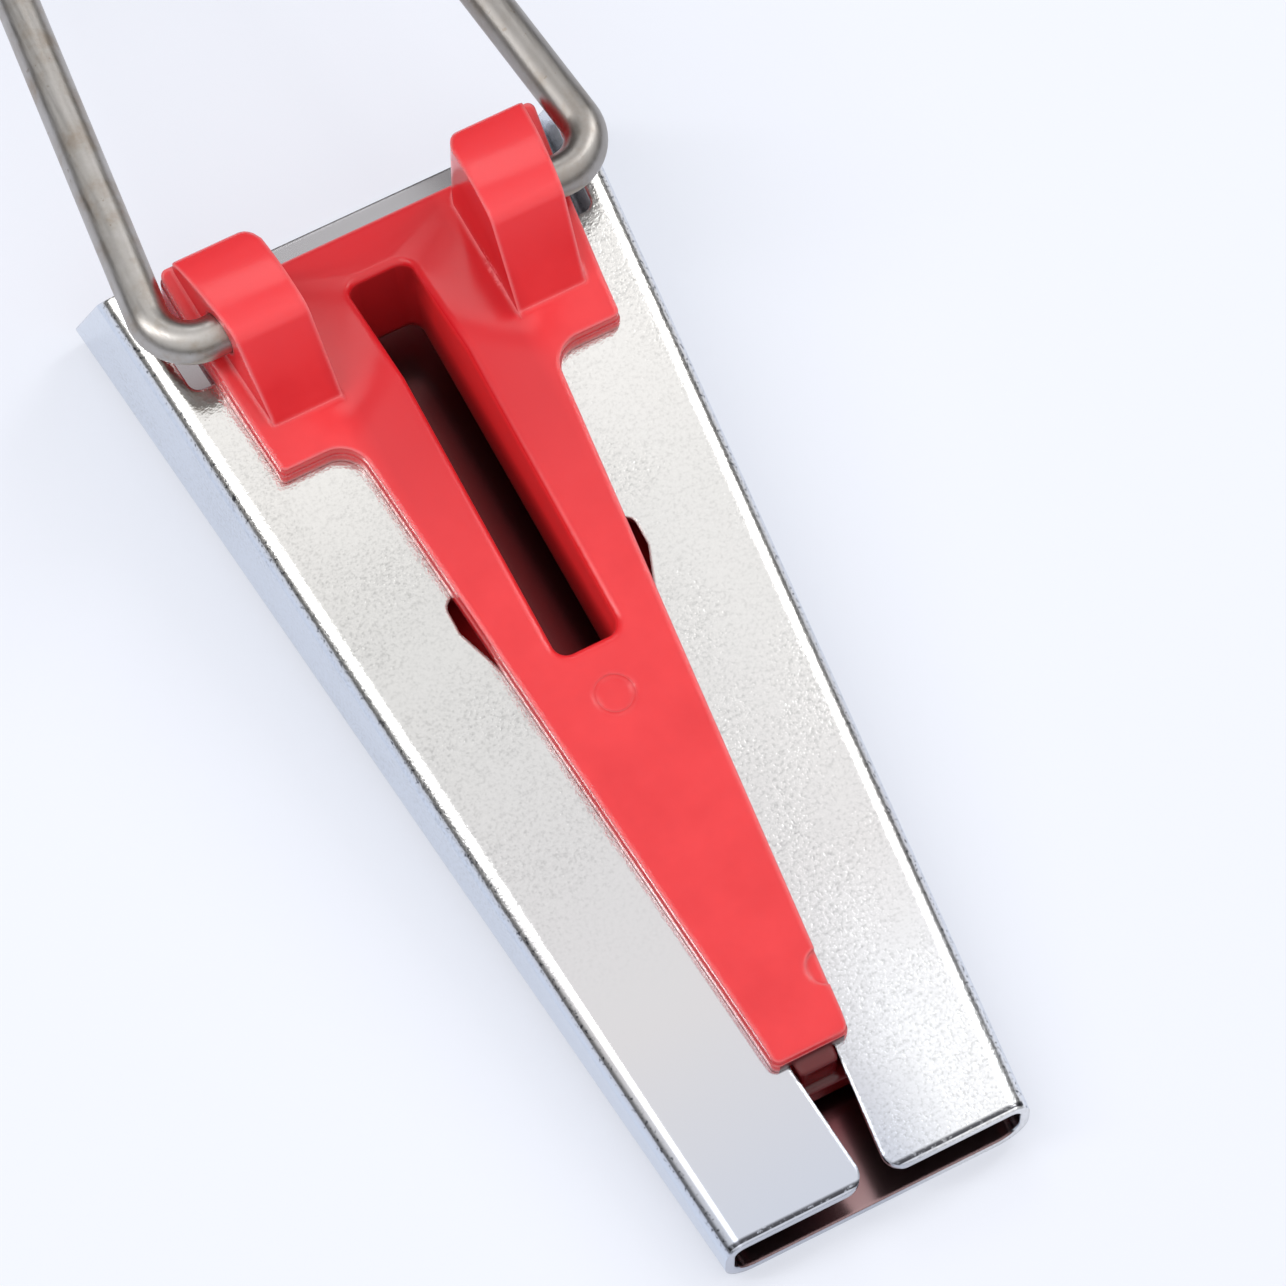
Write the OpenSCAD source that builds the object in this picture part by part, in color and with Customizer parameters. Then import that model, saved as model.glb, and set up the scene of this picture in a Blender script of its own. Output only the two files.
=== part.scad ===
// Bias tape maker for 12 mm (half inch) tape: a strip of cloth enters the wide end of a tapered
// sheet steel tube, is folded round the core plate of a plastic guide and leaves the narrow
// mouth with both edges turned in. A wire bail on the guide pulls the tool along the strip.
// X is across the tool, Y runs from the mouth to the wide end, Z is up from the table. Lengths
// are counted from the mouth; the finished nodes are moved so that the origin is the centre of
// the bottom plate's underside.

/* [Tube] */
// Outer width of the tube at its narrow mouth
mouth_w = 13.6; // [12.6:0.1:15]
// Outer height of the tube at its narrow mouth
mouth_h = 3.1; // [2.9:0.1:4]
// Outer width of the tube where the bottom plate ends
entry_w = 22; // [21:0.1:25]
// Height of the flap plane where the bottom plate ends
entry_h = 8.2; // [7.8:0.1:9.5]
// Length of the bottom plate
tube_len = 49; // [48:0.5:60]
// Thickness of the sheet
sheet = 0.4; // [0.3:0.05:0.5]
// Outer radius of the two upper bends
top_bend = 0.9; // [0.7:0.05:1.1]
// Outer radius of the two lower bends
low_bend = 1.4; // [1:0.1:1.6]
// How far the upper bends end in front of the bottom plate
rear_rake = 2.6; // [1:0.1:4]

/* [Flaps] */
// Length of the two folded flaps
flap_len = 41.2; // [40:0.1:43]
// Width of the slit between the flaps at the mouth
slit_w = 0.95; // [0.8:0.05:1.3]
// Width of the slit at the rear end of the flaps
slit_end_w = 8.7; // [8.2:0.1:9]
// Corner radius of the flaps at the mouth
flap_r = 0.8; // [0.4:0.1:1.2]
// Width of the strip left along each upper bend behind the flaps
strip_w = 1.2; // [1:0.05:1.5]
// Corner radius of the cut-out behind each flap
cutout_r = 0.5; // [0.2:0.1:1]

/* [Snap notches] */
// Place of the shoulder of each notch, from the mouth
notch_y = 28.8; // [24:0.1:31]
// Half distance between the outer ends of the two notches
notch_x = 4.25; // [4.1:0.05:4.6]
// Length of the straight side of each notch
notch_side = 1; // [0.6:0.1:1.5]
// Corner radius of each notch
notch_r = 0.5; // [0.2:0.1:0.6]
// Slope of the long side of each notch, across per length
notch_slope = 0.37; // [0.3:0.01:0.5]

/* [Guide plate] */
// Thickness of the top plate of the guide
plate_t = 1.05; // [0.9:0.05:1.4]
// Height of the parting line above the flaps
parting_h = 0.5; // [0.35:0.05:0.6]
// How far the lower half stands out at the parting line
parting_step = 0.06; // [0.03:0.01:0.1]
// Distance of the nose from the mouth
nose_y = 5.6; // [4:0.1:8]
// Width of the nose at its front
nose_w = 3.25; // [3:0.05:3.6]
// Width of the nose where it meets the wings
nose_root_w = 9; // [8.4:0.1:9.4]
// Length of the slope at the front of the nose
nose_slope_l = 0.75; // [0.4:0.05:1.2]
// Drop of the slope at the front of the nose
nose_slope_h = 0.25; // [0.1:0.05:0.4]
// Distance of the front of the wings from the mouth
wing_y = 36.15; // [33:0.05:37]
// Width over the wings at their front corners
wing_w = 15.3; // [15:0.1:16]
// Width over the wings at the rear end
wing_end_w = 17; // [16.6:0.1:17.4]
// Radius of the fillets between the nose and the wings
wing_fillet = 1.3; // [0.8:0.1:1.8]
// Radius of the front corners of the wings
wing_corner = 0.25; // [0.15:0.05:0.5]

/* [Slot] */
// Width of the slot for the awl
slot_w = 2.8; // [2.4:0.1:3.2]
// Distance of the front end of the slot from the mouth
slot_y = 24.3; // [20:0.1:28]
// Length of the slot
slot_len = 18.7; // [14:0.1:18.9]
// Corner radius of the slot
slot_r = 0.6; // [0.3:0.1:1]

/* [Ears] */
// Distance of the front foot of the ears from the mouth
ear_y = 38; // [37.5:0.1:39]
// Length of the ears
ear_len = 7.4; // [7:0.1:8]
// Distance of the ridge behind the front foot of the ears
ridge_run = 2.6; // [2.2:0.1:3]
// Height of the ridge of the ears above the table
ridge_z = 11.6; // [11.4:0.1:12.5]
// Height of the rear top edge of the ears above the table
ear_rear_z = 10.7; // [10.4:0.1:11.2]
// Rise of the arched top of the ears above a straight line
ear_arch = 0.4; // [0.2:0.05:0.6]
// Radius of the rear top edge of the ears
ear_rear_r = 0.6; // [0.3:0.1:0.8]
// Half distance between the inner faces of the ears at the front
ear_in_x = 4; // [3.9:0.05:4.15]
// How much further apart the inner faces are at the rear
ear_in_flare = 0.35; // [0.1:0.05:0.45]
// Width of the shoulder outside each ear at its front foot
shoulder_w = 0.75; // [0.6:0.05:0.9]
// Width of the shoulder outside each ear at the rear
shoulder_rear_w = 0.55; // [0.45:0.05:0.8]
// Height of the shoulders above the table just behind the pivot
cradle_z = 9; // [8.7:0.05:9.1]
// Height of the shoulders above the table at the rear
shoulder_rear_z = 10.2; // [9.8:0.1:10.4]
// Distance of the front of the web's slope from the mouth
web_y = 37.65; // [37:0.05:37.9]
// Height of the web above the table at the rear
web_rear_z = 6.2; // [5.9:0.1:6.6]
// Thickness of the web at the rear
web_t = 1.2; // [1:0.1:1.5]

/* [Core] */
// Gap for the folded cloth above the front of the core plate
fold_gap = 0.7; // [0.5:0.05:0.8]
// Gap for the strip of cloth below the rear of the core plate
strip_gap = 2.6; // [2.2:0.1:3]
// Thickness of the core plate
core_t = 1.1; // [0.9:0.05:1.2]
// Distance of the front of the core plate from the mouth
core_y = 4.6; // [3:0.1:5.4]
// Width of the core plate at its front
core_w = 10.4; // [9.6:0.1:10.8]
// Width of the core plate at the rear
core_end_w = 15.4; // [14.4:0.1:15.6]
// Corner radius of the core plate
core_r = 1.5; // [0.8:0.1:2.5]
// Gap between the neck and the edges of the flaps
neck_gap = 0.12; // [0.08:0.01:0.2]

/* [Bail] */
// Diameter of the wire
wire_d = 1.8; // [1.6:0.05:1.9]
// Gap all round between the wire and its holes
pin_gap = 0.05; // [0.03:0.01:0.08]
// Distance of the pivot from the mouth
pivot_y = 41.8; // [41.5:0.1:42]
// Height of the pivot above the table
pivot_z = 10.2; // [10:0.05:10.3]
// Half distance between the arms at the pivot
arm_x = 10; // [9.9:0.05:10.8]
// Half distance between the arms at the far end, before rounding
arm_end_x = 6.4; // [5.5:0.1:7.5]
// Distance from the pivot to the bar at the far end
bail_len = 32; // [26:0.5:40]
// Centre radius of the bends at the pins
pin_bend = 1.8; // [1.4:0.1:2]
// Centre radius of the bends at the far end
end_bend = 4; // [2.5:0.1:4.5]
// Half distance between the ends of the two pins
pin_end_x = 5.4; // [5.2:0.05:5.8]
// Room between the end of a pin and the bottom of its hole
pin_room = 0.2; // [0.1:0.05:0.4]

/* [Hidden] */
$fn = 96;
flats_below = 0.3;                               // outer corners under this radius are short flats
nose_r = 0.35;                                   // front corners of the nose
neck_y = 4.9;                                    // front of the neck
neck_r = 0.15;                                   // front corners of the neck
neck_wall = 1.2;                                 // wall round the rear end of the slot
ridge_r = 0.9;                                   // rounding of the ridge of the ears
ear_edge_r = 0.2;                                // outer rear edge of the ears
ear_corner_r = 1;                                // inner rear edge of the ears
shoulder_r = 0.3;                                // outer rear edge of the shoulders
cradle_run = 0.6;                                // lowest line of the shoulders, behind the pivot
core_bevel = 0.35;                               // bevels along the sides of the core plate
rim_r = 0.3;                                     // rounding of the rim of the slot
slot_join = 1;                                   // how far the two parts of the slot overlap
leg_inset = 0.15;                                // legs behind the flaps, inside the ears' outer sides
lap = 0.3;                                       // how far joined pieces of the guide run into each other
barb_side_gap = 0.65;                            // room beside each barb in its notch
mark_x = -0.13;                                  // ring left by an ejector pin
mark_y = 22.1;
mark_d = 1.6;
mark_line = 0.12;
mark_depth = 0.05;
gate_y = 8.4;                                    // crescent left by the gate, on the nose's edge
gate_r = 0.8;
gate_x = 0.15;
gate_depth = 0.25;
wire_swell = 0.01;                               // how much thicker the wire is in its bends
wire_lap = 0.05;                                 // how far the straights run into the bends
wire_chamfer = 0.15;                             // cut ends of the wire
nickel = "lightsteelblue";
red = "firebrick";
steel = "silver";
far = 60;                                        // reach of cutting shapes past the tool
taper = (entry_w - mouth_w) / 2 / tube_len;      // spread of each side wall per length
slope = (entry_h - mouth_h) / tube_len;          // rise of the flap plane per length
side_a = atan(taper);                            // angle of the side walls in plan
rise_a = atan(slope);                            // angle of the flap plane
edge_a = atan(slope * cos(side_a));              // pitch of the upper edges along the walls
top_len = tube_len - rear_rake;                  // where the upper bends end
slit_taper = (slit_end_w - slit_w) / 2 / flap_len;
nose_taper = (nose_root_w - nose_w) / 2 / (wing_y - nose_y);
rear_y = ear_y + ear_len;                        // rear face of the guide
slot_end = slot_y + slot_len;
wing_taper = (wing_end_w - wing_w) / 2 / (rear_y - wing_y);
mid_z = mouth_h / 2;                             // a level between the flaps and the bottom plate
web_a = atan((plate_z(web_y) - web_rear_z) / (rear_y - web_y));
core_len = rear_y - core_y;
core_front_z = flap_z(core_y) - sheet - fold_gap - core_t;
core_slope = (sheet + strip_gap - core_front_z) / core_len;
core_a = atan(core_slope);

function half_w(y) = mouth_w / 2 + taper * y;
function flap_z(y) = mouth_h + slope * y;
function slit_x(y) = slit_w / 2 + slit_taper * y;
function nose_x(y) = nose_w / 2 + nose_taper * (y - nose_y);
function wing_x(y) = wing_w / 2 + wing_taper * (y - wing_y);
function plate_z(y) = flap_z(y) + plate_t / cos(rise_a);
function core_low_z(y) = core_front_z + core_slope * (y - core_y);
function core_top_z(y) = core_low_z(y) + core_t / cos(core_a);
function ear_in(y) = ear_in_x + ear_in_flare * (y - ear_y) / ear_len;
function ear_out(y) = wing_x(y) - shoulder_w - (shoulder_rear_w - shoulder_w) * (y - ear_y) / ear_len;
function web_z(y) = plate_z(web_y) + (web_rear_z - plate_z(web_y)) * (y - web_y) / (rear_y - web_y);

// Rounds the corners of an outline: a list of [x, y, radius], counterclockwise. A corner comes
// out as [start, end, centre, radius, turn, sweep].
function unit(v) = v / norm(v);
function spot(p) = [p[0], p[1]];
function turn(a, b) = a[0] * b[1] - a[1] * b[0];
function corner(list, i) =
    let (n = len(list), p = spot(list[i]), r = list[i][2])
    let (u = unit(spot(list[(i + n - 1) % n]) - p), v = unit(spot(list[(i + 1) % n]) - p))
    let (half = acos(u * v) / 2, reach = r / tan(half))
    [p + u * reach, p + v * reach, p + unit(u + v) * r / sin(half), r, turn(v, u), 180 - 2 * half];

// The points of an arc round c from the angle a0, in n steps
function arc(c, r, a0, sweep, n) =
    [for (i = [0 : n]) let (a = a0 + sweep * i / n) c + r * [cos(a), sin(a)]];
function facing(v) = atan2(v[1], v[0]);

// The points that stand for a corner: a small outer one is drawn in short flats
function corner_points(c) =
    c[3] == 0 ? [c[0]] :
    c[3] < flats_below && c[4] > 0 ? arc(c[2], c[3], facing(c[0] - c[2]), c[5], 5) : [c[0], c[1]];

module rounded(list) {
    corners = [for (i = [0 : len(list) - 1]) corner(list, i)];
    difference() {
        union() {
            polygon([for (c = corners) each corner_points(c)]);
            for (c = corners) if (c[3] >= flats_below && c[4] > 0) translate(c[2]) circle(r = c[3]);
        }
        for (c = corners) if (c[3] > 0 && c[4] < 0) translate(c[2]) circle(r = c[3]);
    }
}

// Stands an outline drawn as [y, z] on its side and gives it a width along X
module side_slab(x0, x1) {
    translate([x0, 0, 0]) rotate([90, 0, 90]) linear_extrude(height = x1 - x0) children();
}

// Places its children on the flap plane, with Y along the slope
module on_flaps() {
    translate([0, 0, mouth_h]) rotate([rise_a, 0, 0]) children();
}

// Places its children on the web, with Y down its slope from the front of the web
module on_web() {
    translate([0, web_y, plate_z(web_y)]) rotate([-web_a, 0, 0]) children();
}

// Moves a node from the mouth to the origin of the frame
module centred() {
    translate([0, -tube_len / 2, 0]) children();
}

module both_sides() {
    children();
    mirror([1, 0, 0]) children();
}

// Trims the sharp edge of a wedge to a bend: a corner block with the bend's cylinder cut out
module bend_trim(axis_x, axis_z, pitch, lean, r) {
    translate([axis_x, 0, axis_z]) rotate([pitch, 0, -side_a]) rotate([-90, 0, 0]) difference() {
        translate([0, 0, -5]) linear_extrude(height = tube_len + 10)
            polygon([[0, 0], [3 * r, 0], [3 * r, 3 * r], [3 * r * sin(lean), 3 * r * cos(lean)]]);
        translate([0, 0, -6]) cylinder(r = r, h = tube_len + 12);
    }
}

// The flattened tube as a solid, with every face moved inwards by inset
module tube_solid(inset, y0, y1) {
    top_r = top_bend - inset;
    low_r = low_bend - inset;
    lean = asin(sin(side_a) * sin(rise_a));
    wall = inset / cos(side_a);
    difference() {
        intersection() {
            linear_extrude(height = far) polygon([
                [half_w(y0) - wall, y0], [half_w(y1) - wall, y1],
                [wall - half_w(y1), y1], [wall - half_w(y0), y0]]);
            side_slab(-far, far) polygon([
                [y0, inset], [y1, inset],
                [y1, flap_z(y1) - inset / cos(rise_a)], [y0, flap_z(y0) - inset / cos(rise_a)]]);
        }
        both_sides() bend_trim(mouth_w / 2 - low_bend / cos(side_a), low_bend, 0, 0, low_r);
        both_sides() translate([0, 0, mouth_h - top_bend / cos(rise_a)]) mirror([0, 0, 1])
            bend_trim(mouth_w / 2 - top_bend / cos(side_a), 0, -edge_a, lean, top_r);
    }
}

module slit_outline() {
    polygon([[-slit_x(-1), -1], [slit_x(-1), -1], [slit_x(flap_len + 1), flap_len + 1],
        [-slit_x(flap_len + 1), flap_len + 1]]);
}

// What is cut away at the inner corner of a flap at the mouth
module flap_corner() {
    c = slit_x(flap_r) + flap_r / cos(atan(slit_taper)) ;
    difference() {
        polygon([[slit_x(-1) - 0.1, -1], [c, -1], [c, 0], [c, flap_r], [slit_x(flap_r), flap_r]]);
        translate([c, flap_r]) circle(r = flap_r);
    }
}

module cutout_outline() {
    y1 = tube_len + 2;
    rounded([[-1, flap_len, 0], [half_w(flap_len) - strip_w, flap_len, cutout_r],
        [half_w(y1) - strip_w, y1, 0], [-1, y1, 0]]);
}

// Outline of a snap notch, or with gaps that of the barb that sits in it
module notch_outline(side_gap, end_gap) {
    x1 = notch_x - side_gap;
    y1 = notch_y - end_gap;
    y0 = notch_y - notch_r - notch_side;
    x0 = slit_x(y0) - 1;
    rounded([[x0, y0 - (x1 - x0) / notch_slope, 0], [x1, y0, 0], [x1, y1, notch_r], [x0, y1, 0]]);
}

module body_shell() {
    color(nickel) centred() difference() {
        tube_solid(0, 0, tube_len);
        tube_solid(sheet, -1, tube_len + 1);
        translate([0, 0, mid_z]) linear_extrude(height = far) {
            slit_outline();
            both_sides() flap_corner();
            both_sides() cutout_outline();
            both_sides() notch_outline(0, 0);
        }
        // slanted rear edges of the side walls
        side_slab(-far, far) polygon([[tube_len, -1], [tube_len, low_bend],
            [top_len, flap_z(top_len)], [top_len, far], [far, far], [far, -1]]);
    }
}

// Plan of the guide plate, a little larger by grow
module plate_outline(grow) {
    y0 = nose_y - grow;
    y1 = wing_y - grow;
    right = [[nose_x(y0) + grow, y0, nose_r], [nose_x(y1) + grow, y1, wing_fillet - grow],
        [wing_x(y1) + grow, y1, wing_corner], [wing_x(rear_y) + grow, rear_y, shoulder_r]];
    rounded([for (p = right) p, for (i = [3 : -1 : 0]) [-right[i][0], right[i][1], right[i][2]]]);
}

// Part of a plan outline between two curves of height, each a list of [y, z] from front to rear
module layer(low, high) {
    n = len(high);
    intersection() {
        linear_extrude(height = far) children();
        side_slab(-far, far) polygon([each low, for (i = [n - 1 : -1 : 0]) high[i]]);
    }
}

// The plate: a wider lower half up to the parting line, and the full height above it
module plate() {
    front = nose_y - 1;
    seat = [[front, flap_z(front)], [rear_y, flap_z(rear_y)]];
    part = parting_h / cos(rise_a);
    cradle_y = pivot_y + cradle_run;
    upper = plate_t - parting_h;
    layer(seat, [[front, flap_z(front) + part], [ear_y, flap_z(ear_y) + part],
        [cradle_y, cradle_z - upper], [rear_y, shoulder_rear_z - upper]]) plate_outline(parting_step);
    layer(seat, [[front, plate_z(nose_y) - nose_slope_h * (1 + 1 / nose_slope_l)],
        [nose_y + nose_slope_l, plate_z(nose_y + nose_slope_l)], [ear_y, plate_z(ear_y)],
        [cradle_y, cradle_z], [rear_y, shoulder_rear_z]]) plate_outline(0);
}

// Cuts an edge that runs along X to a round, between the directions a and b from its centre
module edge_cut(centre, a, b, r) {
    difference() {
        side_slab(1, far) polygon([centre, centre + 3 * r * a, centre + 3 * r * (a + b), centre + 3 * r * b]);
        translate([0, centre[0], centre[1]]) rotate([0, 90, 0]) cylinder(r = r, h = 2 * far);
    }
}

// Plan of an ear or leg from y0 to the rear. Its inner side is cut later, with the web.
module ear_outline(y0, inset) {
    edge_y = rear_y - ear_edge_r;
    polygon([[ear_in(y0) - lap, y0], [ear_out(y0) - inset, y0], [ear_out(edge_y) - inset, edge_y],
        [ear_out(edge_y) - ear_edge_r - inset, rear_y], [ear_in(rear_y) - lap, rear_y]]);
}

// An ear: a ramp, a ridge, an arched top and a rounded rear edge
module ear() {
    foot = [ear_y, plate_z(ear_y)];
    ridge = [ear_y + ridge_run, ridge_z];
    rear = [rear_y, ear_rear_z];
    chord = rear - ridge;
    arch_r = (chord * chord / 4 + ear_arch * ear_arch) / (2 * ear_arch);
    hub = (ridge + rear) / 2 + unit([chord[1], -chord[0]]) * (arch_r - ear_arch);
    ramp = unit(ridge - foot);
    inward = [ramp[1], -ramp[0]];
    start = ridge + inward * ridge_r - hub;
    along = -start * ramp + sqrt(pow(start * ramp, 2) - start * start + pow(arch_r - ridge_r, 2));
    ridge_c = hub + start + ramp * along;
    rear_c = [rear_y - ear_rear_r,
        hub[1] + sqrt(pow(arch_r - ear_rear_r, 2) - pow(rear_y - ear_rear_r - hub[0], 2))];
    difference() {
        intersection() {
            linear_extrude(height = far) ear_outline(ear_y, 0);
            side_slab(0, far) polygon([[ear_y, flap_z(ear_y) + lap], [rear_y + 1, flap_z(rear_y + 1) + lap],
                [rear_y + 1, foot[1] + ramp[1] / ramp[0] * (ear_len + 1)], foot]);
        }
        edge_cut(hub, unit([1, 1]), unit([-1, 1]), arch_r);
        edge_cut(ridge_c, unit(ridge_c - hub), -inward, ridge_r);
        edge_cut(rear_c, [1, 0], unit(rear_c - hub), ear_rear_r);
    }
}

module neck_outline() {
    x0 = slit_x(neck_y) - neck_gap;
    x1 = slit_x(flap_len) - neck_gap;
    y1 = flap_len + neck_gap + lap;
    rounded([[-x0, neck_y, neck_r], [x0, neck_y, neck_r], [x1, flap_len, 0], [x1, y1, 0],
        [-x1, y1, 0], [-x1, flap_len, 0]]);
}

// The core plate, with bevelled sides that the cloth folds round
module core_plate() {
    spread = (core_end_w - core_w) / 2 / core_len;
    x = core_w / 2;
    run = core_len + 3;
    intersection() {
        translate([0, core_y, core_front_z]) rotate([core_a, 0, 0]) difference() {
            linear_extrude(height = core_t) rounded([[-x, 0, core_r], [x, 0, core_r],
                [x + spread * run, run, 0], [-x - spread * run, run, 0]]);
            both_sides() for (z = [0, core_t]) translate([x, 0, z]) rotate([0, 0, -atan(spread)])
                rotate([-90, 0, 0]) linear_extrude(height = far)
                    rotate([0, 0, 45]) square(core_bevel * sqrt(2), center = true);
        }
        translate([-far, rear_y - far, -far]) cube([2 * far, far, 2 * far]);
    }
}

// What stands between the core plate and the plate: neck, barbs and the legs behind the flaps
module neck() {
    y1 = flap_len + neck_gap;
    seat = [[core_y, flap_z(core_y) + lap], [rear_y, flap_z(rear_y) + lap]];
    bed = [[core_y, core_top_z(core_y) - lap], [rear_y, core_top_z(rear_y) - lap]];
    sheet_low = [for (p = seat) [p[0], p[1] - lap - sheet]];
    layer(bed, seat) neck_outline();
    layer(sheet_low, seat) both_sides() notch_outline(barb_side_gap, neck_gap);
    layer(bed, seat) both_sides() ear_outline(y1, leg_inset);
    neck_tail();
}

// The neck goes on under the web as a wall round the rear end of the slot
module neck_tail() {
    x = slot_w / 2 + neck_wall;
    y0 = flap_len - neck_wall;
    y1 = slot_end + neck_wall;
    layer([[y0, core_top_z(y0) - lap], [y1, core_top_z(y1) - lap]],
        [[y0, web_z(y0) - lap], [y1, web_z(y1) - lap]])
        polygon([[-x, y0], [x, y0], [x, y1], [-x, y1]]);
}

// The web between the ears, which slopes down to the rear
module web() {
    y0 = flap_len - 1;
    y1 = flap_len + neck_gap;
    x0 = ear_in(y0) - lap;
    x1 = ear_in(y1) + lap;
    layer([[y0, web_z(y0) - web_t], [rear_y, web_rear_z - web_t]],
        [[y0, web_z(y0) + lap], [rear_y, web_rear_z + lap]])
        polygon([[-x0, y0], [x0, y0], [x0, y1], [x1, y1], [x1, rear_y], [-x1, rear_y], [-x1, y1], [-x0, y1]]);
}

// All that is cut away between the ears above the web, with rounded rear edges on the ears
module web_cut() {
    r = ear_corner_r;
    x = ear_in(rear_y) + r;
    side = [[ear_in(web_y), web_y], [ear_in(rear_y - r), rear_y - r],
        each arc([x, rear_y - r], r, 168, -78, 6), [x, rear_y + 1]];
    n = len(side);
    layer([[web_y, plate_z(web_y)], [rear_y + 1, web_z(rear_y + 1)]], [[web_y, far], [rear_y + 1, far]])
        polygon([each side, for (i = [n - 1 : -1 : 0]) [-side[i][0], side[i][1]]]);
}

// Rounds the upper rim of a hole: a quarter groove along its outline
module rim_section(r) {
    difference() {
        translate([-r, -r]) square([2 * r, 2 * r]);
        translate([r, -r]) circle(r = r);
        translate([-2 * r, -2 * r]) square([2 * r, 2 * r]);
    }
}

// What the slot cuts away from one of its ends at y = 0, over a length, with the rim rounded
module slot_end_cut(len) {
    w = slot_w / 2;
    translate([-w, 0, -far]) linear_extrude(height = 2 * far)
        rounded([[0, 0, slot_r], [slot_w, 0, slot_r], [slot_w, len, 0], [0, len, 0]]);
    rotate([90, 0, 90]) translate([0, 0, slot_r - w]) linear_extrude(height = slot_w - 2 * slot_r)
        mirror([1, 0]) rim_section(rim_r);
    both_sides() {
        translate([w, slot_r, 0]) rotate([90, 0, 0]) mirror([0, 0, 1])
            linear_extrude(height = len - slot_r) rim_section(rim_r);
        translate([w - slot_r, slot_r, 0]) rotate([0, 0, -90]) rotate_extrude(angle = 90)
            translate([slot_r, 0]) rim_section(rim_r);
    }
}

// The slot for the awl: the front part square to the plate, the rear part square to the web
module slot() {
    on_flaps() translate([0, slot_y / cos(rise_a), plate_t])
        slot_end_cut((web_y + slot_join - slot_y) / cos(rise_a));
    on_web() translate([0, (slot_end - web_y) / cos(web_a), 0]) mirror([0, 1, 0])
        slot_end_cut((slot_end - web_y) / cos(web_a) + slot_join);
}

// The ring left by an ejector pin and the crescent left by the gate
module mould_marks() {
    translate([mark_x, mark_y, plate_t - mark_depth]) difference() {
        cylinder(d = mark_d + mark_line, h = 1);
        translate([0, 0, -1]) cylinder(d = mark_d - mark_line, h = 3);
    }
    translate([nose_x(gate_y) + gate_x, gate_y, plate_t - gate_depth]) cylinder(r = gate_r, h = 1);
}

module guide() {
    color(red) centred() difference() {
        union() {
            plate();
            both_sides() ear();
            neck();
            web();
            core_plate();
        }
        web_cut();
        slot();
        on_flaps() mould_marks();
        // blind holes for the pins of the bail
        both_sides() translate([pin_end_x - pin_room, pivot_y, pivot_z]) rotate([0, 90, 0])
            cylinder(d = wire_d + 2 * pin_gap, h = far);
    }
}

// A round bend of wire that starts at the radius r on the X axis, and a straight that leads to
// it. A bend is a hair thicker, as the press leaves it, and takes in the ends of its straights.
module wire_bend(r, sweep) {
    rotate_extrude(angle = sweep) translate([r, 0]) circle(d = wire_d + wire_swell);
}

module wire_straight(len) {
    translate([0, wire_lap, 0]) rotate([90, 0, 0]) cylinder(d = wire_d, h = len + 2 * wire_lap);
}

// The bail, drawn from the bar at the far end through an arm to the pin, each piece on the last
module bail() {
    $fn = 48;
    lean = atan((arm_x - arm_end_x) / bail_len);
    pin_reach = pin_bend * tan((90 + lean) / 2);
    end_reach = end_bend * tan((90 - lean) / 2);
    bar = arm_end_x - end_reach;
    arm = norm([arm_x - arm_end_x, bail_len]) - pin_reach - end_reach;
    pin = arm_x - pin_reach - pin_end_x - wire_chamfer;
    color(steel) centred() translate([0, pivot_y, pivot_z]) {
        translate([-bar, bail_len, 0]) rotate([0, 0, 90]) wire_straight(2 * bar);
        both_sides() translate([bar, bail_len - end_bend, 0]) rotate([0, 0, lean]) {
            wire_bend(end_bend, 90 - lean);
            translate([end_bend, 0, 0]) {
                wire_straight(arm);
                translate([-pin_bend, -arm, 0]) rotate([0, 0, -90 - lean]) {
                    wire_bend(pin_bend, 90 + lean);
                    translate([pin_bend, 0, 0]) {
                        wire_straight(pin - wire_lap);
                        translate([0, -pin, 0]) rotate([90, 0, 0])
                            cylinder(d1 = wire_d, d2 = wire_d - 2 * wire_chamfer, h = wire_chamfer);
                    }
                }
            }
        }
    }
}

body_shell();
guide();
bail();
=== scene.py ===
# The looks of a bias tape maker: a folded tube of nickel-plated sheet steel, a moulded red
# plastic guide in its slit, and a bail of drawn steel wire. The shapes come from the packed
# model; this script gives them their finishes, the table, the light and the camera. X is across
# the tool, the mouth looks along -Y, Z is up, and the origin is the middle of the underside.
import math

import bpy
from mathutils import Matrix, Vector

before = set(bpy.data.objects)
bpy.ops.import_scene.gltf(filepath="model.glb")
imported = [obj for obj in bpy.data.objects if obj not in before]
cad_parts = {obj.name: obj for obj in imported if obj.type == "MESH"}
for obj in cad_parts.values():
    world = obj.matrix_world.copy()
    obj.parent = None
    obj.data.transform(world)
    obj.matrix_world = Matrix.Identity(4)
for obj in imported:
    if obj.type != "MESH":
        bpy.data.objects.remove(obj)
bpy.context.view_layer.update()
MM = 0.001
MOUTH_Y = -24.5                 # front edges of the flaps, in millimetres, as the lines below
INSIDE_Z = 0.8                  # under it lies only the bottom plate, which is 0.4 thick
SLOT_HALF_W = 1.6               # just outside the side walls of the slot
SLOT_FRONT_Y = -0.3             # just in front of its front wall
SLOT_REAR_Y = 18.6              # just behind its rear wall
CORE_TIP_Y = -18.95             # the core plate in front of it shows under the nose
FLASH_AT = (4.15, 15.2, 7.5)    # flash at the inner foot of the right ear,
FLASH_REACH = (0.25, 2.2, 0.6)  # and how far it spreads to each side
WHITE = "#eef1fa"               # the table, a little blue as in the photograph


def colour(code):
    """An sRGB hex colour as linear RGBA."""
    parts = [int(code[i:i + 2], 16) / 255 for i in (1, 3, 5)]
    return [c / 12.92 if c <= 0.04045 else ((c + 0.055) / 1.055) ** 2.4 for c in parts] + [1.0]


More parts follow.
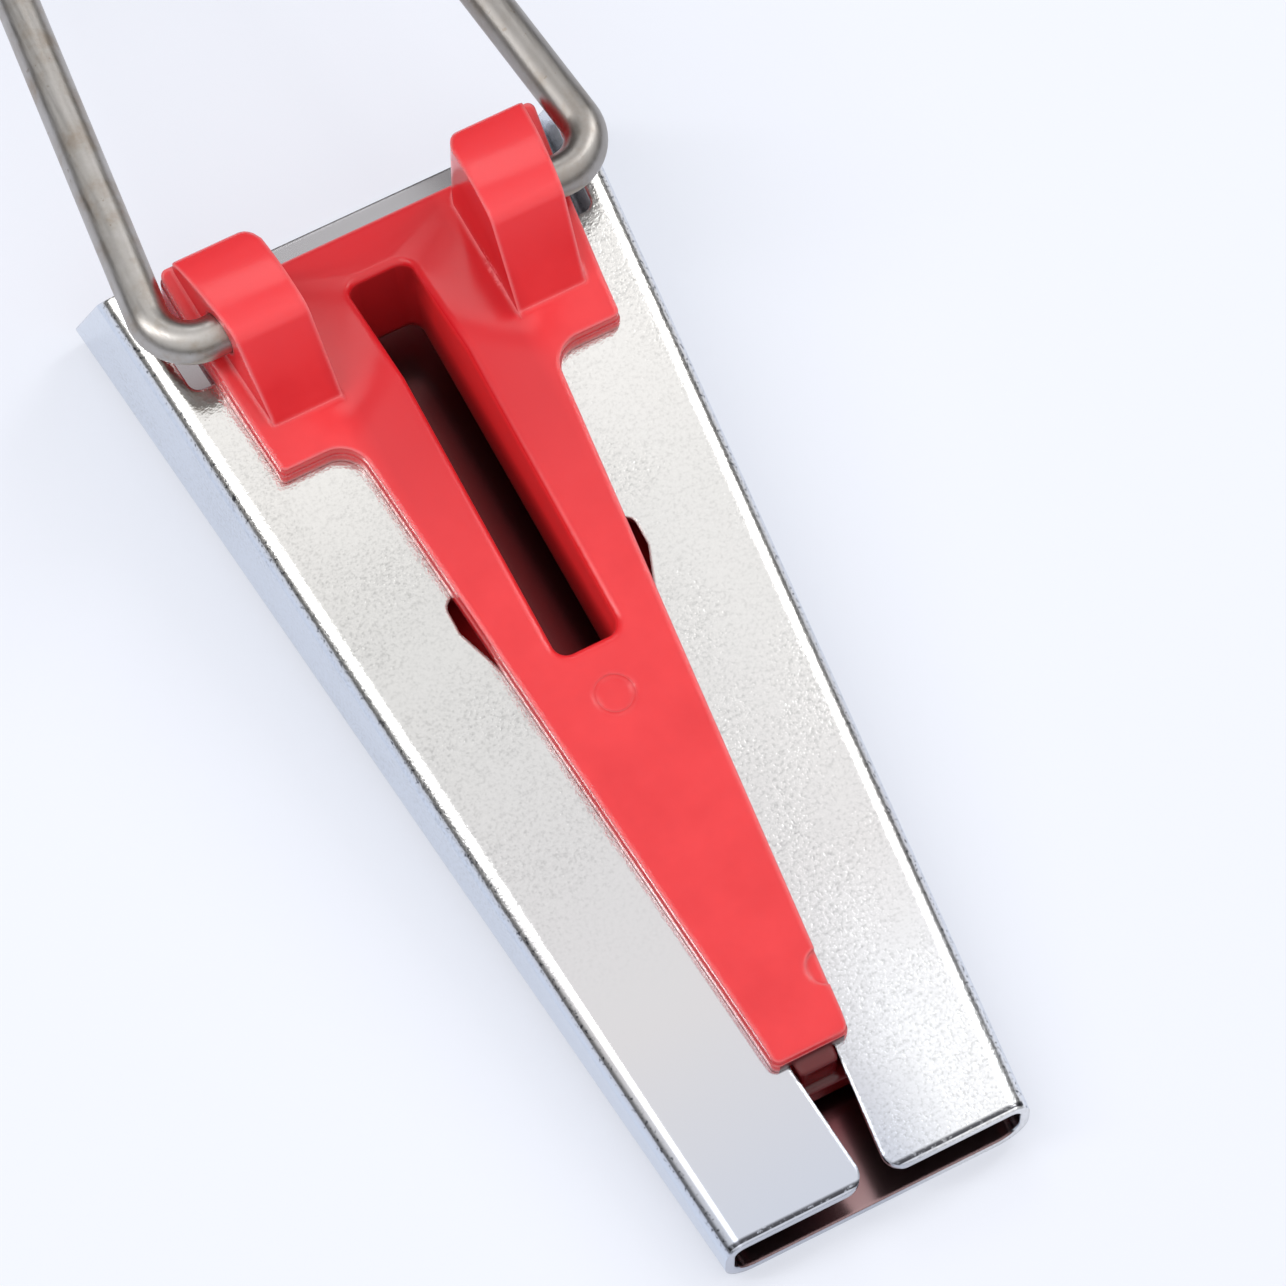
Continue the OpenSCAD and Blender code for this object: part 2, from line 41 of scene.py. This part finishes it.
def add(tree, kind, settings=None, links=None):
    """Adds a node, sets its sockets and properties, and links other sockets to its inputs."""
    node = tree.nodes.new(kind)
    for name, value in (settings or {}).items():
        if isinstance(name, str) and hasattr(node, name):
            setattr(node, name, value)
        else:
            node.inputs[name].default_value = value
    for name, source in (links or {}).items():
        tree.links.new(source, node.inputs[name])
    return node


def axes(tree, vector):
    """The X, Y and Z of a vector."""
    return add(tree, "ShaderNodeSeparateXYZ", {}, {0: vector}).outputs


def work_out(tree, operation, first, second=0.0, clamp=False):
    """A sum with two numbers, each one plain or the output of a node."""
    node = add(tree, "ShaderNodeMath", {"operation": operation, "use_clamp": clamp})
    for place, value in enumerate((first, second)):
        if isinstance(value, (float, int)):
            node.inputs[place].default_value = value
        else:
            tree.links.new(value, node.inputs[place])
    return node.outputs[0]


def between(tree, source, start, end, low=0.0, high=1.0):
    """Turns start to end of a number into low to high, and holds these beyond."""
    settings = {"From Min": start, "From Max": end, "To Min": low, "To Max": high}
    return add(tree, "ShaderNodeMapRange", settings, {"Value": source}).outputs[0]


def way(tree, length, start, end, high=1.0):
    """How far a length is from start to end, both in millimetres, as a share up to high."""
    return between(tree, length, start * MM, end * MM, 0.0, high)


def noise(tree, place, size, detail, roughness=0.5):
    """Uneven spots of about size millimetres."""
    settings = {"Scale": 1 / (size * MM), "Detail": detail, "Roughness": roughness}
    return add(tree, "ShaderNodeTexNoise", settings, {"Vector": place}).outputs[0]


def ramp(tree, source, stops):
    """A colour ramp with stops of (place, value), each value a grey or a hex colour."""
    node = add(tree, "ShaderNodeValToRGB", {}, {0: source})
    points = node.color_ramp.elements
    while len(points) < len(stops):
        points.new(0.5)
    for point, (place, value) in zip(points, stops):
        point.position = place
        point.color = colour(value) if isinstance(value, str) else (value, value, value, 1)
    return node.outputs[0]


def blend(tree, share, first, second, how="MIX"):
    """Mixes two colours or greys by a share."""
    node = tree.nodes.new("ShaderNodeMix")
    node.data_type = "RGBA"
    node.blend_type = how
    for place, value in ((0, share), (6, first), (7, second)):
        if isinstance(value, (float, int)):
            node.inputs[place].default_value = value if place == 0 else (value, value, value, 1)
        elif isinstance(value, str):
            node.inputs[place].default_value = colour(value)
        else:
            tree.links.new(value, node.inputs[place])
    return node.outputs[2]


def new_material(name):
    """An empty material and its node tree."""
    material = bpy.data.materials.new(name)
    material.use_nodes = True
    material.node_tree.nodes.clear()
    return material, material.node_tree


def close_tree(tree, shader, kind="ShaderNodeOutputMaterial"):
    """Makes a shader the surface of its material, or of the world."""
    tree.links.new(shader.outputs[0], tree.nodes.new(kind).inputs["Surface"])


def edge_mask(tree, rounded):
    """1 on the rounded edges of a piece and 0 on its faces, from how far the edge's rounded
    normal leans off the face."""
    plain = add(tree, "ShaderNodeNewGeometry").outputs["Normal"]
    lean = add(tree, "ShaderNodeVectorMath", {"operation": "DOT_PRODUCT"}, {0: rounded, 1: plain})
    return ramp(tree, lean.outputs["Value"], [(0.80, 1.0), (0.985, 0.0)])


def nickel_plated_sheet():
    """Thin cold rolled steel sheet, nickel plated after it is stamped and folded. It mirrors what
    is round it, the rolled grain shows through the plating as a fine pebble, and its edges are
    rounded. Its inside is rougher, and painted shade darkens it."""
    material, tree = new_material("nickel_plated_sheet_steel")
    coordinates = add(tree, "ShaderNodeTexCoord")
    place = coordinates.outputs["Object"]
    x, y, z = axes(tree, place)
    facing = axes(tree, coordinates.outputs["Normal"])
    # painted reflection: a cooler, darker tone painted at the narrow mouth and a warmer, brighter
    # one at the wide end, for what the sheet mirrors there
    tone = ramp(tree, way(tree, y, -24, 20), [
        (0.0, "#bcc0cb"), (0.2, "#c8c6c8"), (0.5, "#cccbca"), (0.64, "#cecdcb"), (0.8, "#dbd9d6")])
    # painted reflection: the flap on the right is painted brighter, with painted glints near the
    # mouth, where its pebble is stronger too
    glint_and_pebble_zone = work_out(tree, "MULTIPLY", way(tree, x, 1, 4), way(tree, y, -12, -20))
    tone = blend(tree, glint_and_pebble_zone, tone, "#e4e6ea")
    tone = blend(tree, way(tree, x, 0, 6, 0.3), tone, "#eceae8")
    # painted reflection: the side walls are painted bluer, for the shaded table they mirror
    sideways = work_out(tree, "ABSOLUTE", facing["X"])
    tone = blend(tree, ramp(tree, sideways, [(0.7, 0.0), (0.95, 1.0)]), tone, "#d2dae6")
    # painted shade and a painted red-brown reflection on the upper side of the bottom plate,
    # lighter at its rear edge
    low = work_out(tree, "LESS_THAN", z, INSIDE_Z * MM)
    up = work_out(tree, "GREATER_THAN", facing["Z"], 0.7)
    inside = work_out(tree, "MULTIPLY", low, up)
    painted_inside_shade = ramp(tree, way(tree, y, -25, 25), [
        (0.0, "#a58a8b"), (0.08, "#7a4a4d"), (0.45, "#6a2e32"), (0.8, "#704143"),
        (0.88, "#978485"), (0.95, "#c2c0c3")])
    tone = blend(tree, inside, tone, painted_inside_shade)
    # rolled grain: hills and pits about 0.2 mm apart, stronger in patches of 5 mm. The left flap
    # is smooth near the mouth.
    grain = noise(tree, place, 0.16, 3.0, 0.6)
    cloud = noise(tree, place, 5, 3.0)
    kept = work_out(tree, "MAXIMUM", way(tree, x, -1, 1), way(tree, y, -14, -6))
    relief = work_out(tree, "MULTIPLY", between(tree, cloud, 0.4, 0.6, 0.5, 1.0), kept)
    relief = work_out(tree, "MAXIMUM", relief, glint_and_pebble_zone)
    relief = work_out(tree, "SUBTRACT", relief, inside, clamp=True)
    pebble = ramp(tree, grain, [(0.32, 0.76), (0.47, 0.94), (0.62, 1.0)])
    shown = blend(tree, relief, tone, blend(tree, 1.0, tone, pebble, "MULTIPLY"))
    # painted reflection: a dark ragged band behind the front edges of the flaps, where the
    # rolled-over edge mirrors the dark horizon
    painted_edge_reflection = ramp(tree, way(tree, y, MOUTH_Y, MOUTH_Y + 0.5), [
        (0.18, 0.0), (0.26, 1.0), (0.5, 0.9), (0.7, 0.0)])
    painted_edge_reflection = work_out(tree, "MULTIPLY", up, painted_edge_reflection)
    painted_edge_reflection = work_out(tree, "SUBTRACT", painted_edge_reflection, low, clamp=True)
    ragged = ramp(tree, grain, [(0.3, 0.35), (0.45, 1.0)])
    shown = blend(tree, work_out(tree, "MULTIPLY", painted_edge_reflection, ragged), shown, "#38383d")
    # painted reflection: fine dark specks along the outer side of each bend, where it mirrors the
    # dark horizon
    outer = ramp(tree, sideways, [(0.5, 0.0), (0.62, 1.0), (0.82, 1.0), (0.9, 0.0)])
    painted_horizon_specks = ramp(tree, grain, [(0.35, 1.0), (0.43, 0.0)])
    shown = blend(tree, work_out(tree, "MULTIPLY", outer, painted_horizon_specks), shown, "#63656c")
    # polished outside, duller inside
    polish = blend(tree, inside, between(tree, cloud, 0.3, 0.7, 0.06, 0.12), 0.2)
    edge = add(tree, "ShaderNodeBevel", {"samples": 6, "Radius": 0.2 * MM})
    bump = add(tree, "ShaderNodeBump", {"Distance": 0.018 * MM},
               {"Strength": relief, "Height": grain, "Normal": edge.outputs[0]})
    metal = add(tree, "ShaderNodeBsdfPrincipled", {"Metallic": 1.0},
                {"Base Color": shown, "Roughness": polish, "Normal": bump.outputs[0]})
    close_tree(tree, metal)
    return material


def flash_mask(tree, place):
    """1 on the crumbs of flash at the foot of the right ear, where the two halves of the mould
    met badly."""
    middle = tuple(length * MM for length in FLASH_AT)
    closer = tuple(1 / (length * MM) for length in FLASH_REACH)
    off = add(tree, "ShaderNodeVectorMath", {"operation": "SUBTRACT", 1: middle}, {0: place})
    off = add(tree, "ShaderNodeVectorMath", {"operation": "MULTIPLY", 1: closer},
              {0: off.outputs[0]})
    off = add(tree, "ShaderNodeVectorMath", {"operation": "LENGTH"}, {0: off.outputs[0]})
    zone = ramp(tree, off.outputs["Value"], [(0.6, 1.0), (1.0, 0.0)])
    crumbs = ramp(tree, noise(tree, place, 0.2, 2.0), [(0.5, 0.0), (0.6, 0.8)])
    return work_out(tree, "MULTIPLY", zone, crumbs)


def red_moulded_plastic():
    """Acetal, injection moulded and glossy. Light goes a little way into it, so thin walls glow,
    and its rims are painted paler as painted highlight. The walls of the slot are rougher, with
    painted shade that darkens them further down."""
    material, tree = new_material("red_moulded_acetal")
    coordinates = add(tree, "ShaderNodeTexCoord")
    place = coordinates.outputs["Object"]
    x, y, z = axes(tree, place)
    across = work_out(tree, "ABSOLUTE", x)
    # slight differences in pigment, a few millimetres across
    flow = noise(tree, place, 3, 3.0, 0.55)
    tint = ramp(tree, flow, [(0.30, "#e02a31"), (0.70, "#ea343a")])
    # painted shade: the web between the ears is painted darker, where the ears keep light off it
    painted_web_shade = work_out(tree, "MULTIPLY", way(tree, y, 3, 10), way(tree, across, 4.6, 3.6))
    tint = blend(tree, painted_web_shade, tint, "#d3262e")
    # painted highlight: the tops of the ears are painted paler, for the gloss they catch
    tint = blend(tree, way(tree, z, 9.3, 11.5), tint, "#ec3f45")
    # painted highlight: rounded edges, painted paler than the faces
    edge = add(tree, "ShaderNodeBevel", {"samples": 8, "Radius": 0.32 * MM})
    tint = blend(tree, edge_mask(tree, edge.outputs[0]), tint, "#ff7f83")
    # painted shade on the walls of the slot, darker towards the bottom and at the rear
    near = work_out(tree, "LESS_THAN", across, SLOT_HALF_W * MM)
    behind = work_out(tree, "GREATER_THAN", y, SLOT_FRONT_Y * MM)
    before = work_out(tree, "LESS_THAN", y, SLOT_REAR_Y * MM)
    facing = axes(tree, coordinates.outputs["Normal"])
    slot = ramp(tree, facing["Z"], [(0.2, 1.0), (0.6, 0.0)])
    for part in (near, behind, before):
        slot = work_out(tree, "MULTIPLY", slot, part)
    painted_slot_shade = ramp(tree, way(tree, z, 1, 8), [(0.15, "#8a1217"), (0.4, "#b3171e"), (0.6, "#f0343a")])
    painted_slot_shade = blend(tree, way(tree, y, 16, 18), painted_slot_shade, "#a3131a")
    tint = blend(tree, slot, tint, painted_slot_shade)
    tint = blend(tree, flash_mask(tree, place), tint, "#ff8488")
    # painted shade: the tip of the core plate is painted dark, for the shade it lies in under the
    # flaps
    painted_tip_shade = work_out(tree, "LESS_THAN", y, CORE_TIP_Y * MM)
    tint = blend(tree, painted_tip_shade, tint, "#5e0f12")
    # faint waves of 0.9 mm in the glossy faces
    waves = noise(tree, place, 0.9, 2.0)
    bump = add(tree, "ShaderNodeBump", {"Strength": 0.2, "Distance": 0.02 * MM},
               {"Height": waves, "Normal": edge.outputs[0]})
    gloss = blend(tree, slot, between(tree, flow, 0.3, 0.7, 0.13, 0.2), 0.6)
    plastic = add(tree, "ShaderNodeBsdfPrincipled", {
        "IOR": 1.48, "Subsurface Weight": 0.3, "Subsurface Scale": 0.45 * MM,
        "Subsurface Radius": (1.0, 0.2, 0.15)},
        {"Base Color": tint, "Roughness": gloss, "Normal": bump.outputs[0]})
    close_tree(tree, plastic)
    return material


def drawn_steel_wire():
    """Bright drawn wire: fine lines along its length, a soft satin shine, darker than the plated
    sheet, with faint brown stains and specks where the drawing soap stayed."""
    material, tree = new_material("drawn_steel_wire")
    place = add(tree, "ShaderNodeTexCoord").outputs["Object"]
    # die lines follow the arms, so the pattern is long in Y and about 0.1 mm across
    lines = add(tree, "ShaderNodeMapping", {"Scale": (1, 0.04, 1)}, {"Vector": place})
    drawn = noise(tree, lines.outputs[0], 0.12, 3.0, 0.6)
    # stains of 1.5 mm and specks of 0.3 mm, and painted shade that darkens the right arm
    stain = noise(tree, place, 1.5, 5.0, 0.65)
    tint = ramp(tree, stain, [(0.32, "#a0968c"), (0.5, "#aeaaa6"), (0.72, "#b8b5b3")])
    tint = blend(tree, way(tree, axes(tree, place)["X"], -2, 2, 0.5), tint, "#8f8a86")
    specks = ramp(tree, noise(tree, place, 0.3, 2.0), [(0.24, 0.5), (0.3, 0.0)])
    tint = blend(tree, specks, tint, "#85786c")
    satin = between(tree, drawn, 0.3, 0.7, 0.3, 0.42)
    bump = add(tree, "ShaderNodeBump", {"Strength": 0.25, "Distance": 0.01 * MM},
               {"Height": drawn})
    metal = add(tree, "ShaderNodeBsdfPrincipled", {"Metallic": 1.0},
                {"Base Color": tint, "Roughness": satin, "Normal": bump.outputs[0]})
    close_tree(tree, metal)
    return material


def make_smoothing(sharp):
    """A node group that shades a mesh smooth, apart from edges of more than the angle sharp."""
    tree = bpy.data.node_groups.new("smooth_faces", "GeometryNodeTree")
    for in_out in ("INPUT", "OUTPUT"):
        tree.interface.new_socket(
            name="Geometry", in_out=in_out, socket_type="NodeSocketGeometry")
    mesh = add(tree, "NodeGroupInput").outputs[0]
    angle = add(tree, "GeometryNodeInputMeshEdgeAngle").outputs[0]
    crisp = work_out(tree, "GREATER_THAN", angle, math.radians(sharp))
    whole = add(tree, "GeometryNodeSetShadeSmooth", {"domain": "FACE", 2: True}, {0: mesh})
    split = add(tree, "GeometryNodeSetShadeSmooth", {"domain": "EDGE", 2: False},
                {0: whole.outputs[0], 1: crisp})
    add(tree, "NodeGroupOutput", {}, {0: split.outputs[0]})
    return tree


def dress(node, material, join, smoothing):
    """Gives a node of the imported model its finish, and smooth shading across its round faces:
    corners closer than join millimetres are one, and the large faces rule the normals."""
    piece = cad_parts[node]
    piece.data.materials.clear()
    piece.data.materials.append(material)
    piece.modifiers.new("joined_corners", "WELD").merge_threshold = join * MM
    piece.modifiers.new("smooth_faces", "NODES").node_group = smoothing
    normals = piece.modifiers.new("flat_faces_rule", "WEIGHTED_NORMAL")
    normals.mode = "FACE_AREA"
    normals.weight = 90
    normals.keep_sharp = True


def dress_pieces():
    """The three pieces in their finishes."""
    smoothing = make_smoothing(28)
    dress("body_shell", nickel_plated_sheet(), 0.001, smoothing)
    dress("guide", red_moulded_plastic(), 0.001, smoothing)
    dress("bail", drawn_steel_wire(), 0.008, smoothing)


def white_table():
    """A matt white table that keeps the tool's shadow. The camera, metal and clear pieces see it
    evened out by half."""
    material, tree = new_material("white_table")
    matt = add(tree, "ShaderNodeBsdfDiffuse", {"Color": colour(WHITE)})
    glow = add(tree, "ShaderNodeEmission", {"Color": colour(WHITE), "Strength": 1.0})
    path = add(tree, "ShaderNodeLightPath").outputs
    seen = work_out(tree, "MAXIMUM", path["Is Glossy Ray"], path["Is Transmission Ray"])
    seen = work_out(tree, "MAXIMUM", path["Is Camera Ray"], seen)
    mix = add(tree, "ShaderNodeMixShader", {}, {
        0: work_out(tree, "MULTIPLY", seen, 0.5), 1: matt.outputs[0], 2: glow.outputs[0]})
    close_tree(tree, mix)
    return material


def make_floor():
    """A wide table, a hair below the tool."""
    bpy.ops.mesh.primitive_plane_add(size=2.0, location=(0, 0, -0.02 * MM))
    floor = bpy.context.object
    floor.name = "table"
    floor.data.materials.append(white_table())


def make_softbox(name, at, size, glow):
    """A soft box over the table that points at the tool. Its glow is how bright its face looks,
    where 1 is white."""
    lamp = bpy.data.lights.new(name, "AREA")
    lamp.shape = "RECTANGLE"
    lamp.size, lamp.size_y = size
    lamp.energy = glow * math.pi * size[0] * size[1]
    box = bpy.data.objects.new(name, lamp)
    bpy.context.scene.collection.objects.link(box)
    box.location = at
    box.rotation_euler = (-Vector(at)).to_track_quat("-Z", "Y").to_euler()


def make_lamps():
    """Wide boxes for the faces, and narrow tubes whose reflections are the white lines along the
    bends. Places and sizes are in metres."""
    make_softbox("left_softbox", (-0.38, 0.12, 0.56), (0.2, 0.6), 1.6)
    make_softbox("right_softbox", (0.44, 0.12, 0.50), (0.2, 0.45), 1.6)
    make_softbox("left_tube", (-0.37, 0.12, 0.54), (0.03, 0.5), 12)
    make_softbox("right_tube", (0.43, 0.12, 0.48), (0.03, 0.4), 9)
    make_softbox("rear_softbox", (0.13, 0.46, 0.51), (0.3, 0.22), 1.6)


def make_world():
    """A white light tent: brightest overhead, darker near the table's edges and behind the tool."""
    world = bpy.data.worlds.new("light_tent")
    bpy.context.scene.world = world
    world.use_nodes = True
    tree = world.node_tree
    tree.nodes.clear()
    ray = axes(tree, add(tree, "ShaderNodeTexCoord").outputs["Generated"])
    height = ramp(tree, ray["Z"], [
        (0.0, 0.15), (0.3, 0.22), (0.55, 0.8), (0.85, 0.88), (0.93, 1.0)])
    rear = ramp(tree, ray["Y"], [(0.28, 1.0), (0.5, 0.3)])
    tent = add(tree, "ShaderNodeBackground", {"Strength": 1.25},
               {"Color": blend(tree, 1.0, height, rear, "MULTIPLY")})
    close_tree(tree, tent, "ShaderNodeOutputWorld")


def make_camera():
    """The photograph's view: a long lens, 25 degrees off the vertical, from the mouth's left."""
    tilt, turn, roll = math.radians(24.96), math.radians(-28.82), math.radians(-0.93)
    back = Vector((
        math.sin(turn) * math.sin(tilt), -math.cos(turn) * math.sin(tilt), math.cos(tilt)))
    ahead = -back
    right = ahead.cross(Vector((0, 0, 1))).normalized()
    down = ahead.cross(right)
    image_right = math.cos(roll) * right + math.sin(roll) * down
    image_down = math.cos(roll) * down - math.sin(roll) * right
    turned = Matrix((image_right, -image_down, -ahead)).transposed()
    lens = bpy.data.cameras.new("camera")
    lens.sensor_width = 36
    focal_length, image_width = 7632, 1286     # in pixels of the photograph
    lens.lens = lens.sensor_width * focal_length / image_width
    lens.clip_start = 0.01
    camera = bpy.data.objects.new("camera", lens)
    bpy.context.scene.collection.objects.link(camera)
    place = Vector((-60.01, MOUTH_Y - 89.2, 282.37)) * MM
    camera.matrix_world = Matrix.Translation(place) @ turned.to_4x4()
    bpy.context.scene.camera = camera


dress_pieces()
make_floor()
make_lamps()
make_world()
make_camera()
bpy.context.scene.view_settings.view_transform = "Standard"
